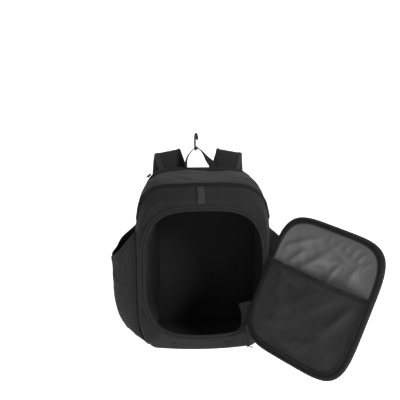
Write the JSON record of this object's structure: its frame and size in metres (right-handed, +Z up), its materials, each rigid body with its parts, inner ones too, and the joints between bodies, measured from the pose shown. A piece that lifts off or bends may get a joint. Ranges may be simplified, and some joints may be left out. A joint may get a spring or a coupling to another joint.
{
  "type": "baseball bat backpack",
  "caption": "Hanging bat backpack with its round-cornered front door unzipped and swung open, side pockets, shoulder straps, grab handle and fence hook.",
  "frame": {"origin": "middle of the hook's upper bend, where a fence wire or a rail carries the bag", "axes": "+X to the right seen from the front, +Y from the bag's front to the wearer's back, +Z up"},
  "size_m": [0.6229, 0.5376, 0.5299],
  "materials": {
    "body_cloth": "matt woven polyester",
    "base_cloth": "coated polyester",
    "lining": "light polyester lining",
    "pocket_cloth": "matt woven polyester",
    "zip": "coil zip on woven tape",
    "webbing": "ribbed nylon webbing",
    "light_webbing": "ribbed nylon webbing",
    "padding": "foam under knitted mesh",
    "plastic": "moulded nylon",
    "metal": "black enamelled steel"
  },
  "bodies": {
    "root": {"front_panel": "body_cloth", "crown_panel": "body_cloth", "side_panel_left": "body_cloth", "side_panel_right": "body_cloth", "door_panel": "body_cloth", "base_panel": "base_cloth", "door_lining": "lining", "inner_wall_left": "lining", "door_pocket": "pocket_cloth", "door_hinge": "pocket_cloth", "side_pocket_left": "pocket_cloth", "side_pocket_right": "pocket_cloth", "opening_zip": "zip", "crown_zip": "zip", "rear_zip": "zip", "door_rim": "zip", "grab_handle": "webbing", "door_pocket_hem": "webbing", "pocket_hem_left": "webbing", "pocket_hem_right": "webbing", "strap_tab_left": "webbing", "strap_tab_right": "webbing", "strap_web_left": "webbing", "strap_web_right": "webbing", "door_pull_cord": "webbing", "door_pull_knot": "webbing", "front_loop": "light_webbing", "back_panel": "padding", "shoulder_strap_left": "padding", "shoulder_strap_right": "padding", "ladder_lock_left": "plastic", "ladder_lock_right": "plastic", "fence_hook": "metal", "vent_eyelet_left": "metal", "vent_eyelet_right": "metal", "door_slider": "metal", "rear_slider": "metal", "rear_pull": "metal"}
  },
  "joints": []
}
